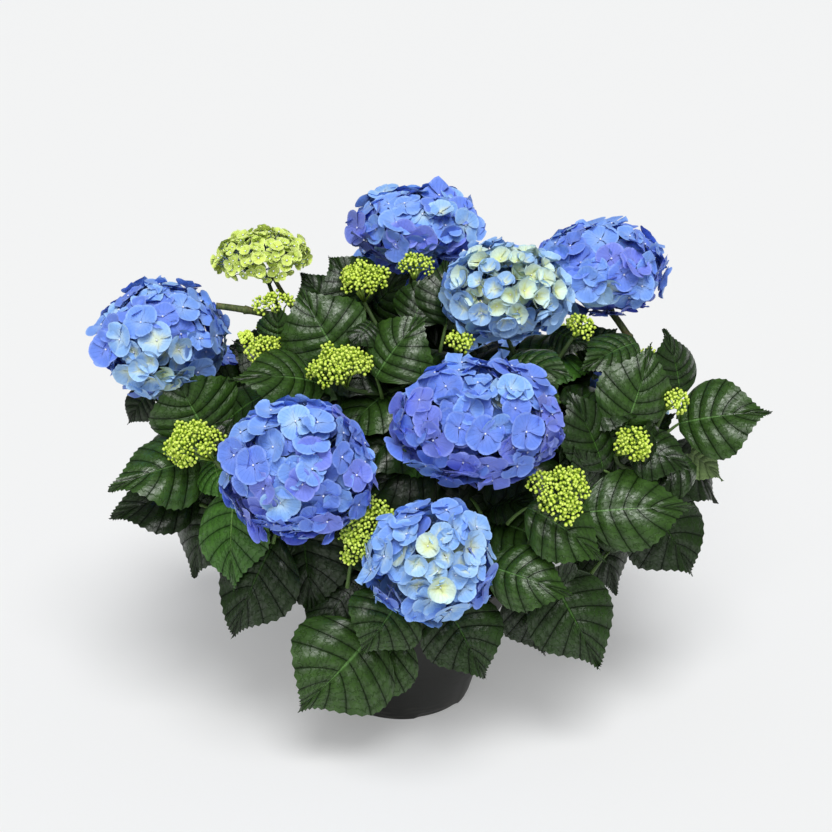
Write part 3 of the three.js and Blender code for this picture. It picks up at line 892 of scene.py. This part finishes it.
def stalks_to(harvest, foot, places, tip_radius, fork_radius, look, rng):
    """Forked stalks: a few stout rays from the foot, then a thin stalk to each place."""
    places = np.asarray(places)
    middle = places.mean(axis=0)
    picks = places[rng.choice(len(places), min(FORKS, len(places)), replace=False)]
    forks = foot + (picks - foot) * 0.5 + (middle - foot) * 0.08
    for fork in forks:
        ray = bow(foot, fork, np.zeros(3), 3)
        harvest.add(*tube(ray, fork_radius * np.array([1, 0.9, 0.7]), 5), look)
    for place in places:
        fork = forks[np.argmin(np.linalg.norm(forks - place, axis=1))]
        stalk = bow(fork, place, rng.normal(0, 1.2 * MM, 3), 3)
        harvest.add(*tube(stalk, tip_radius * np.array([1.3, 1, 1]), 3), look)


BLOSSOM_GROUPS = {
    "blossom_high": ["bloom_top", "bloom_right", "bloom_pale", "bloom_left"],
    "blossom_low": ["bloom_front_left", "bloom_middle", "bloom_front"],
    "blossom_back": [n for n in BLOOM_PLAN if "_back_" in n or "_side_" in n],
}


def floret_look(rng, age, height, mix):
    """The petal finish of a floret of this age; height is how far up the bloom it sits, -1 to 1."""
    if age < 0.36:
        return CREAM if rng.random() < 0.68 else PALE_BLUE
    if age < YOUNG + 0.1:
        return rng.choice([PALE_BLUE, SKY, CREAM], p=[0.6, 0.3, 0.1])
    shares = np.array(mix) * (max(0.1, 1 - 1.3 * height), 1, max(0.2, 1 + 0.6 * height), 1)
    return rng.choice([VIOLET, DEEP_BLUE, BLUE, SKY], p=shares / shares.sum())


blossoms = {group: Harvest("petal", PETALS) for group in BLOSSOM_GROUPS}
bloom_feet = {}
for index, (name, (foot_way, young_way, reach, mix)) in enumerate(BLOOM_PLAN.items()):
    rng = np.random.default_rng(100 + index)
    centre, half = bloom_places[name]
    centre = centre + np.array(SLUMP.get(name, (0, 0, 0))) * MM
    foot_way, young_way = unit(foot_way), unit(young_way)
    harvest = next(blossoms[group] for group, names in BLOSSOM_GROUPS.items() if name in names)
    foot = centre + foot_way * half * 0.55
    bloom_feet[name] = (foot, foot_way)
    area = 4 * math.pi * float(np.mean(half)) ** 2
    peak = min(0.9, 0.42 + 0.6 * reach)
    spots = []
    for young_turn, spacing in ((False, FLORET_SPACING), (True, YOUNG_SPACING)):
        for layer, (share, depth) in enumerate(LAYERS):
            for way in spiral(int(area / spacing ** 2 * share)):
                way = unit(way + rng.normal(0, 0.07, 3))
                if way @ foot_way > FOOT_BARE:
                    continue
                out = unit(way / half)
                youth = smooth(reach, reach * 0.1, 1 - way @ young_way)
                age = float(np.clip(1 - youth * peak + rng.normal(0, 0.05), 0.1, 1))
                if (age < YOUNG) != young_turn:
                    continue
                place = centre + way * half * (depth + rng.uniform(-0.07, 0.05))
                normal = unit(out + rng.normal(0, 0.2 + 0.15 * layer, 3))
                look = floret_look(rng, age, way[2], mix)
                size = YOUNG_SIZE + (FLORET_SIZE - YOUNG_SIZE) * smooth(0.2, 0.8, age)
                size = size * rng.uniform(0.82, 1.1)
                set_floret(harvest, rng, place, normal, size, age, look, inner=layer > 0)
                spots.append(place)
    stalks_to(harvest, foot, spots, 0.6 * MM, 1.6 * MM, STALK, rng)
for group, names in BLOSSOM_GROUPS.items():
    blossoms[group].join(group, *names, slot="petal_blue")

# %% [markdown]
# ## The young bloom
#
# One bloom has only just opened. Its florets are small lime cups in loose bunches, and from below its green
# forked stalks are bare to the light.

# %% Young bloom
YOUNG_FLORETS = 330
young = Harvest("petal", PETALS)
rng = np.random.default_rng(300)
centre, half = bloom_places["bloom_young"]
young_foot = centre - UP * half[2] * 1.05 + np.array([6, 0, 0]) * MM
spots = []
for way in spiral(YOUNG_FLORETS):
    if way[2] < -0.35:
        continue
    way = unit(way + rng.normal(0, 0.09, 3))
    place = centre + way * half * (0.9 + rng.uniform(-0.2, 0.07))
    size = rng.uniform(5.0, 7.8) * MM
    age = rng.uniform(0.35, 0.8)
    set_floret(young, rng, place, unit(unit(way / half) + rng.normal(0, 0.3, 3)), size, age, LIME)
    spots.append(place)
bloom_feet["bloom_young"] = (young_foot, -UP)
stalks_to(young, young_foot, spots, 0.55 * MM, 1.5 * MM, STALK, rng)
young.join("blossom_young", "bloom_young", slot="petal_young")

# %% [markdown]
# ## Bud clusters
#
# The next flush is still in bud: flat heads of green beads on a spray of short stalks. The big ones have a
# solid in the frame, and small ones nestle between the leaves near the shoots' ends.

# %% Buds
def bud_finish(name, low, high):
    f = Finish(name, Roughness=0.42, Specular_IOR_Level=0.45)
    flat = f.map("bud")
    # painted light: each bud is darker at its foot, painted shade where the heads crowd, and lighter at its
    # outer end, a painted highlight
    tone = flat.part("Y").rise(0.1, 0.95)
    f.set("Base Color", tone.blend(low, high))
    return f


BUD_LOOKS = [
    bud_finish("bud_lime", colour("#a0c81c"), colour("#e6f870")),
    bud_finish("bud_green", colour("#82a818"), colour("#d2e850")),
    bud_finish("bud_stalk", colour("#5d7a22"), colour("#8aa83a")),
]
LIME_BUD, GREEN_BUD, BUD_STALK = range(3)
# middle (mm), half sizes (mm): the small heads between the leaves
SMALL_HEADS = [
    ((14, 16, 484), (19, 15, 11)),
    ((-138, -42, 414), (17, 15, 12)),
    ((-126, -8, 452), (24, 10, 8)),
    ((57, -68, 431), (18, 13, 8)),
    ((182, -12, 428), (13, 12, 13)),
    ((279, -42, 357), (14, 12, 12)),
    ((-158, -30, 424), (7, 6, 5)),
    ((70, 170, 400), (22, 20, 14)),
    ((-60, 205, 392), (24, 20, 15)),
    ((190, 190, 340), (24, 20, 18)),
    ((-150, 215, 340), (20, 18, 16)),
    ((0, 262, 345), (26, 20, 18)),
    ((265, 60, 360), (20, 18, 14)),
    ((-230, 60, 352), (20, 18, 14)),
]
HEAD_SPACING = 13.5 * MM
BEADS_PER_SPRIG = 15

buds = Harvest("bud", BUD_LOOKS)
bud_feet = []
heads = [(c, h) for c, h in bud_places.values()]
heads += [(np.array(c) * MM, np.array(h) * MM) for c, h in SMALL_HEADS]
rng = np.random.default_rng(500)
for centre, half in heads:
    away = unit(unit(centre - CROWN_HEART) + 0.6 * UP)
    mean_half = float(np.mean(half))
    foot = centre - away * mean_half
    sprigs = []
    for way in spiral(max(7, int(4 * math.pi * mean_half ** 2 / HEAD_SPACING ** 2))):
        if way @ away < -0.25:
            continue
        way = unit(way + rng.normal(0, 0.14, 3))
        sprigs.append((centre + way * half * (0.8 + rng.uniform(-0.3, 0.14)), way))
    reach = min(HEAD_SPACING * 0.52, mean_half * 0.5)
    for sprig, way in sprigs:
        lean = unit(way + 0.5 * away)
        for bud_way in spiral(int(BEADS_PER_SPRIG * 1.6)):
            if bud_way @ lean < -0.2:
                continue
            radius = rng.uniform(1.3, 2.2) * MM
            place = sprig + bud_way * reach * rng.uniform(0.7, 1.2)
            points, faces, flat = bead(radius, 0)
            look = GREEN_BUD if rng.random() < 0.3 else LIME_BUD
            buds.add(points @ frame_of(unit(bud_way + 0.4 * lean), 0) + place, faces, flat, look)
    stalks_to(buds, foot, [sprig for sprig, _ in sprigs], 0.7 * MM, 1.3 * MM, BUD_STALK, rng)
    bud_feet.append((foot, -away))
buds.join("bud_clusters", *BUD_NAMES, slot="bud")
print("bud heads:", len(heads))

# %% [markdown]
# ## Leaf stalks and shoots
#
# Each leaf hangs from a stalk that runs back into the crown, and each bloom and bud head stands on a shoot
# that comes up from one of the masses' hearts, where the frame's canes end.

# %% Leaf stalks and shoots
def twig_finish(name, dark, light, rough):
    f = Finish(name, Roughness=rough, Specular_IOR_Level=0.4)
    flat = f.map("twig")
    streak = f.noise(f.stretch(flat, (9.0, 1.5, 1.0)), 4.0)
    f.set("Base Color", streak.rise(0.3, 0.7).blend(dark, light))
    f.relief(streak, 0.4 * MM, 0.7)
    return f


TWIG_LOOKS = [
    twig_finish("leaf_stalk", colour("#3f5c26"), colour("#6b8a42"), 0.5),
    twig_finish("shoot_bark", colour("#2f4420"), colour("#4c6330"), 0.6),
]
LEAF_STALK, SHOOT = range(2)
twigs = Harvest("twig", TWIG_LOOKS)
hearts = [node_box(n)[0] for n in LEAF_MASSES]
rng = np.random.default_rng(700)
LEAF_STALK_RADII = np.array([2.2, 1.9, 1.7, 1.6, 1.3]) * MM  # from the shoot to the blade
LONG_SHOOT = 60 * MM


def nearest_heart(place):
    return min(hearts, key=lambda h: np.linalg.norm(h - place))


for base, way in twig_ends:
    inward = unit(unit(nearest_heart(base) - base) - way * 0.8 - 0.25 * UP)
    end = base + inward * rng.uniform(24, 36) * MM
    points = bow(end, base + way * 1.5 * MM, UP * 2 * MM, len(LEAF_STALK_RADII))
    twigs.add(*tube(points, LEAF_STALK_RADII, 6), LEAF_STALK)
for foot, way in [*bloom_feet.values(), *bud_feet]:
    heart = nearest_heart(foot + way * LONG_SHOOT)
    points = bow(heart, foot, way * 14 * MM, 8)
    radius = (2.6 if np.linalg.norm(heart - foot) > LONG_SHOOT else 2.0) * MM
    twigs.add(*tube(points, np.linspace(radius * 1.2, radius * 0.8, 8), 8), SHOOT)
twigs.join("leaf_stalks", slot="green_cane")

# %% [markdown]
# ## Canes
#
# The canes are drawn one by one as bezier curves with a round bevel, from the compost to the hearts of the
# masses, then made into meshes. Each is swollen into rings where leaves once stood, which is the relief
# that hydrangea canes have.

# %% Canes
def cane_finish():
    f = Finish("cane_bark", Roughness=0.62, Specular_IOR_Level=0.35)
    place = f.place()
    fibre = f.noise(f.stretch(place, (1.0, 1.0, 0.12)), 420.0)
    blotch = f.noise(place, 90.0)
    lenticel = 1 - f.cells(place, 260.0, "F1").rise(0.05, 0.22)
    bark = fibre.rise(0.35, 0.68).blend(colour("#3c4a25"), colour("#66723f"))
    bark = (blotch.rise(0.5, 0.7) * 0.6).blend(bark, colour("#6d5a3c"))
    f.set("Base Color", (lenticel * 0.5).blend(bark, colour("#8c8460")))
    f.relief(fibre * 0.6 + lenticel * 0.4, 0.5 * MM, 0.8)
    return f


CANE = cane_finish()
CANE_NAMES = sorted(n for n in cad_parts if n.startswith(("cane_", "stalk_")))
THIN_STALKS = ("stalk_young", "stalk_right_thin")
RING_GAP = 34 * MM
RING_SWELL = 0.3
CANE_TAPER = 0.2
END_REACH = 6 * MM


def solid_ends(name):
    """The lower end, middle and upper end of a limb in the frame, found from its corners."""
    corners = np.array([v.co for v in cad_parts[name].data.vertices])
    axis = np.linalg.svd(corners - corners.mean(axis=0), full_matrices=False)[2][0]
    run = (corners - corners.mean(axis=0)) @ axis
    start = corners[run < run.min() + END_REACH].mean(axis=0)
    end = corners[run > run.max() - END_REACH].mean(axis=0)
    off_middle = np.abs(run - (run.min() + run.max()) / 2)
    middle = corners[off_middle < (run.max() - run.min()) * 0.22].mean(axis=0)
    if start[2] > end[2]:
        start, end = end, start
    return start, middle, end


def draw_cane(name):
    """One limb as a bevelled curve, turned into a mesh and swollen at its leaf scars."""
    start, middle, end = solid_ends(name)
    radius = (4.6 if name.startswith("cane_") else 4.2) * MM
    if name in THIN_STALKS:
        radius = 2.6 * MM
    bpy.ops.object.select_all(action="DESELECT")
    bpy.ops.curve.primitive_bezier_curve_add(location=(0, 0, 0))
    rod = bpy.context.object
    rod.name = name.replace("cane_", "bark_cane_").replace("stalk_", "green_stalk_")
    control = 2 * middle - (start + end) / 2
    first, last = rod.data.splines[0].bezier_points
    for point, at in ((first, start), (last, end)):
        point.handle_left_type = point.handle_right_type = "FREE"
        point.co = Vector(at)
    first.handle_right = Vector(start + (control - start) * 2 / 3)
    last.handle_left = Vector(end + (control - end) * 2 / 3)
    first.handle_left = Vector(start - (control - start) * 2 / 3)
    last.handle_right = Vector(end - (control - end) * 2 / 3)
    rod.data.dimensions = "3D"
    rod.data.resolution_u = 48
    rod.data.bevel_depth = radius
    rod.data.bevel_resolution = 4
    rod.data.use_fill_caps = True
    bpy.ops.object.convert(target="MESH")
    rod = bpy.context.object
    bpy.ops.object.mode_set(mode="EDIT")
    bpy.ops.mesh.select_all(action="SELECT")
    bpy.ops.mesh.remove_doubles(threshold=0.01 * MM)
    bpy.ops.object.mode_set(mode="OBJECT")
    path = end - start
    long = float(np.linalg.norm(path))
    for vertex in rod.data.vertices:
        run = float(np.clip(np.dot(np.array(vertex.co) - start, path) / long ** 2, 0, 1))
        centre = start * (1 - run) ** 2 + 2 * control * run * (1 - run) + end * run ** 2
        ring = math.exp(-(((run * long / RING_GAP) % 1 - 0.5) / 0.06) ** 2)
        swell = 1 - CANE_TAPER * run + RING_SWELL * ring
        vertex.co = Vector(centre + (np.array(vertex.co) - centre) * swell)
    rod.data.materials.clear()
    rod.data.materials.append(CANE.material)
    bpy.ops.object.shade_smooth()
    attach(rod, "root")
    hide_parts(name)


for name in CANE_NAMES:
    draw_cane(name)
print("canes and stalks:", len(CANE_NAMES))

# %% [markdown]
# ## The pot
#
# A nursery pot is one thin moulding: a tapering wall, a step out to a deep collar, a rolled rim, and a foot
# notched so that water can run out. It is raised ring by ring from a circle, up the outside, over the rim
# and down the inside, then both floors are filled and the foot's notches lifted.

# %% Pot
pot_low, pot_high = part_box("pot")
POT_HEIGHT = pot_high.z
RIM = pot_high.x
FOOT = 73 * MM
COLLAR = 29 * MM
STEP = 7 * MM
WALL = 2.4 * MM
POT_SIDES = 144
NOTCHES = 4
FIRST_NOTCH = math.radians(-56)
NOTCH_ARC = math.radians(46)
NOTCH_LIFT = 5 * MM
NOTCH_TOP = 9 * MM
UNDERSIDE = FOOT - 14 * MM


def pot_finish():
    f = Finish("charcoal_plastic", Specular_IOR_Level=0.3)
    place = f.place()
    grain = f.noise(place, 900.0, 2.0)
    haze = f.noise(f.stretch(place, (1.0, 1.0, 0.35)), 26.0)
    scuff = f.noise(f.stretch(place, (1.0, 1.0, 6.0)), 60.0, 4.0)
    dust = place.part("Z").rise(0.0, 0.03, 1.0, 0.0) * scuff.rise(0.45, 0.7)
    body = haze.rise(0.35, 0.7).blend(colour("#151613"), colour("#1e1f1c"))
    f.set("Base Color", (dust * 0.35 + scuff.rise(0.62, 0.75) * 0.1).blend(body, colour("#5a5952")))
    f.set("Roughness", 0.4 + haze * 0.14 + scuff.rise(0.55, 0.75) * 0.1)
    f.relief(grain * 0.6 + scuff * 0.4, 0.25 * MM, 0.6)
    return f


def raise_ring(height, radius, state):
    """Extrudes the open edge to a new height and radius."""
    bpy.ops.mesh.extrude_region_move(TRANSFORM_OT_translate={"value": (0, 0, height - state["height"])})
    k = radius / state["radius"]
    bpy.ops.transform.resize(value=(k, k, 1), center_override=(0, 0, 0))
    state["height"], state["radius"] = height, radius


def notch_lift(at):
    """How far a point of the foot is lifted to open the notches round it."""
    share = 2 * math.pi / NOTCHES
    turn = (math.atan2(at.y, at.x) - FIRST_NOTCH) % share
    turn = min(turn, share - turn)
    across = 1 - float(smooth(NOTCH_ARC / 2 - 0.1, NOTCH_ARC / 2 + 0.02, turn))
    outward = float(smooth(FOOT - 4 * MM, FOOT - 1 * MM, at.xy.length))
    return NOTCH_LIFT * across * outward * max(0, 1 - at.z / NOTCH_TOP)


def turn_pot():
    bpy.ops.object.select_all(action="DESELECT")
    bpy.ops.mesh.primitive_circle_add(vertices=POT_SIDES, radius=UNDERSIDE, fill_type="NOTHING")
    pot = bpy.context.object
    pot.name = "nursery_pot"
    collar_foot = RIM - 5 * MM
    wall_top = collar_foot - STEP
    step = POT_HEIGHT - COLLAR
    half_up = (step - 4 * MM) * 0.5
    half_out = (FOOT + wall_top) / 2
    outside = [
        (0, FOOT - 3 * MM), (0.8 * MM, FOOT - 1 * MM), (3 * MM, FOOT), (8 * MM, FOOT + 2.2 * MM),
        (half_up, half_out + 0.8 * MM), (step - 5 * MM, wall_top - 0.3 * MM),
        (step - 3 * MM, wall_top + 0.6 * MM), (step - 0.6 * MM, collar_foot - 1 * MM),
        (step + 1 * MM, collar_foot), (POT_HEIGHT - 8 * MM, RIM - 3.6 * MM),
        (POT_HEIGHT - 5 * MM, RIM - 1.2 * MM), (POT_HEIGHT - 3.4 * MM, RIM), (POT_HEIGHT - 1.4 * MM, RIM),
        (POT_HEIGHT - 0.3 * MM, RIM - 0.8 * MM), (POT_HEIGHT, RIM - 2 * MM),
        (POT_HEIGHT - 0.5 * MM, RIM - 3.6 * MM), (POT_HEIGHT - 2.5 * MM, RIM - 4.4 * MM),
    ]
    inside = [
        (POT_HEIGHT - 8 * MM, RIM - 3.6 * MM - WALL), (step + 4 * MM, collar_foot - WALL),
        (step - 3 * MM, wall_top - WALL), (half_up, half_out - WALL),
        (5 * MM, FOOT - WALL), (3 * MM, FOOT - WALL - 2 * MM), (3 * MM, UNDERSIDE),
    ]
    bpy.ops.object.mode_set(mode="EDIT")
    bpy.ops.mesh.select_mode(type="VERT")
    bpy.ops.mesh.select_all(action="SELECT")
    state = {"height": 0, "radius": UNDERSIDE}
    for height, radius in outside + inside:
        raise_ring(height, radius, state)
    bpy.ops.mesh.fill()
    bpy.ops.mesh.select_all(action="DESELECT")
    bpy.ops.object.mode_set(mode="OBJECT")
    for vertex in pot.data.vertices:
        vertex.select = vertex.co.z < 0.01 * MM and vertex.co.xy.length < UNDERSIDE + 2 * MM
    bpy.ops.object.mode_set(mode="EDIT")
    bpy.ops.mesh.edge_face_add()
    bpy.ops.mesh.select_all(action="SELECT")
    bpy.ops.mesh.normals_make_consistent(inside=False)
    bpy.ops.object.mode_set(mode="OBJECT")
    for vertex in pot.data.vertices:
        vertex.co.z += notch_lift(vertex.co)
    pot.data.materials.append(pot_finish().material)
    bpy.ops.object.shade_smooth_by_angle(angle=math.radians(38))
    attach(pot, "root")
    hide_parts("pot")
    return pot


pot = turn_pot()
print("pot:", len(pot.data.polygons), "faces,", round(RIM * 2000), "mm over the rim")

# %% [markdown]
# ## The compost
#
# Compost is crumbly and dark, with shreds of bark. Its top is a disc cut into rings, roughened by lifting
# its corners, and a scatter of crumbs lies on it.

# %% Compost
def compost_finish():
    f = Finish("compost", Roughness=0.95, Specular_IOR_Level=0.2)
    place = f.place()
    crumb = f.noise(place, 160.0, 5.0, 0.65)
    shred = f.noise(f.stretch(place, (1.0, 2.4, 1.0)), 70.0, 3.0)
    soil = crumb.rise(0.32, 0.7).blend(colour("#17100b"), colour("#3a2b1f"))
    f.set("Base Color", (shred.rise(0.58, 0.7) * 0.7).blend(soil, colour("#5a4330")))
    f.relief(crumb, 2.5 * MM, 1.0)
    return f


COMPOST = compost_finish()
SOIL_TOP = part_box("root_ball")[1].z
SOIL_RIM = RIM - 5 * MM - WALL - 3 * MM
CRUMBS = 420
RINGS = 10


def lay_compost():
    bpy.ops.object.select_all(action="DESELECT")
    low = (0, 0, SOIL_TOP - 5 * MM)
    bpy.ops.mesh.primitive_circle_add(vertices=72, radius=SOIL_RIM, fill_type="NGON", location=low)
    soil = bpy.context.object
    soil.name = "compost"
    bpy.ops.object.mode_set(mode="EDIT")
    bpy.ops.mesh.select_all(action="SELECT")
    bpy.ops.mesh.extrude_region_move(TRANSFORM_OT_translate={"value": (0, 0, 0.5 * MM)})
    for _ in range(RINGS):
        bpy.ops.mesh.inset(thickness=SOIL_RIM * 0.075)
    bpy.ops.object.mode_set(mode="OBJECT")
    rng = np.random.default_rng(900)
    for vertex in soil.data.vertices:
        reach = vertex.co.xy.length / SOIL_RIM
        if vertex.co.z > SOIL_TOP - 4.8 * MM and reach < 0.99:
            vertex.co.z += (1 - reach) * 4 * MM + rng.normal(0, 0.9) * MM
    soil.data.transform(soil.matrix_world)
    soil.location = (0, 0, 0)
    soil.data.materials.append(COMPOST.material)
    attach(soil, "root")
    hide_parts("root_ball")
    crumbs = Harvest("crumb", [COMPOST])
    for _ in range(CRUMBS):
        reach = SOIL_RIM * 0.95 * math.sqrt(rng.random())
        turn = rng.uniform(0, 2 * math.pi)
        high = SOIL_TOP - 4 * MM + (1 - reach / SOIL_RIM) * 4 * MM
        points, faces, flat = bead(rng.uniform(1.2, 3.6) * MM, 0)
        points = points * rng.uniform(0.5, 1.4, 3) * (1 + 0.2 * rng.normal(size=(len(points), 1)))
        at = np.array([reach * math.cos(turn), reach * math.sin(turn), high])
        crumbs.add(points @ frame_of(unit(rng.normal(size=3)), 0) + at, faces, flat, 0)
    crumbs.join("compost_crumbs", slot="compost")


lay_compost()

# %% [markdown]
# ## Studio
#
# A wide pale floor, one broad light high in front and a weaker one lower down, so that the shadow is soft
# and gathers under the pot. The floor gives a little light of its own, as a lit studio sweep does. The
# camera looks down a little, as one does at a pot plant on the ground.

# %% Studio
def stage_floor():
    bpy.ops.object.select_all(action="DESELECT")
    bpy.ops.mesh.primitive_plane_add(size=40, location=(0, 0, -0.2 * MM))
    floor = bpy.context.object
    floor.name = "studio_floor"
    f = Finish("studio_paper", Roughness=0.9, Specular_IOR_Level=0.1)
    f.set("Base Color", (0.62, 0.625, 0.625))
    f.set("Emission Color", (0.27, 0.271, 0.271))
    f.set("Emission Strength", 1.0)
    floor.data.materials.append(f.material)


def sky_light(name, tilt, turn, spread, power):
    """A round soft light so far away that it lights the floor evenly."""
    lamp = bpy.data.lights.new(name, "SUN")
    lamp.angle = math.radians(spread)
    lamp.energy = power
    light = bpy.data.objects.new(name, lamp)
    light.rotation_euler = (math.radians(tilt), 0, math.radians(turn))
    bpy.context.scene.collection.objects.link(light)


stage_floor()
sky_light("high_light", 28, 11, 30, 2.3)
sky_light("front_light", 50, -8, 30, 0.85)
world = bpy.data.worlds.new("studio_air")
bpy.context.scene.world = world
world.use_nodes = True
air = world.node_tree.nodes["Background"].inputs
air["Color"].default_value = (0.9, 0.91, 0.93, 1)
air["Strength"].default_value = 0.22
bpy.context.scene.view_settings.view_transform = "Standard"

camera_data = bpy.data.cameras.new("camera")
camera_data.lens = 78.3  # mm
camera = bpy.data.objects.new("camera", camera_data)
LOOK_AT = Vector((0.015, 0.0, 0.325))
CAMERA_HEIGHT = math.radians(22)
CAMERA_REACH = 1.9
back = Vector((0, -math.cos(CAMERA_HEIGHT), math.sin(CAMERA_HEIGHT)))
camera.location = LOOK_AT + back * CAMERA_REACH
camera.rotation_mode = "QUATERNION"
camera.rotation_quaternion = (-back).to_track_quat("-Z", "Y")
bpy.context.scene.collection.objects.link(camera)
bpy.context.scene.camera = camera
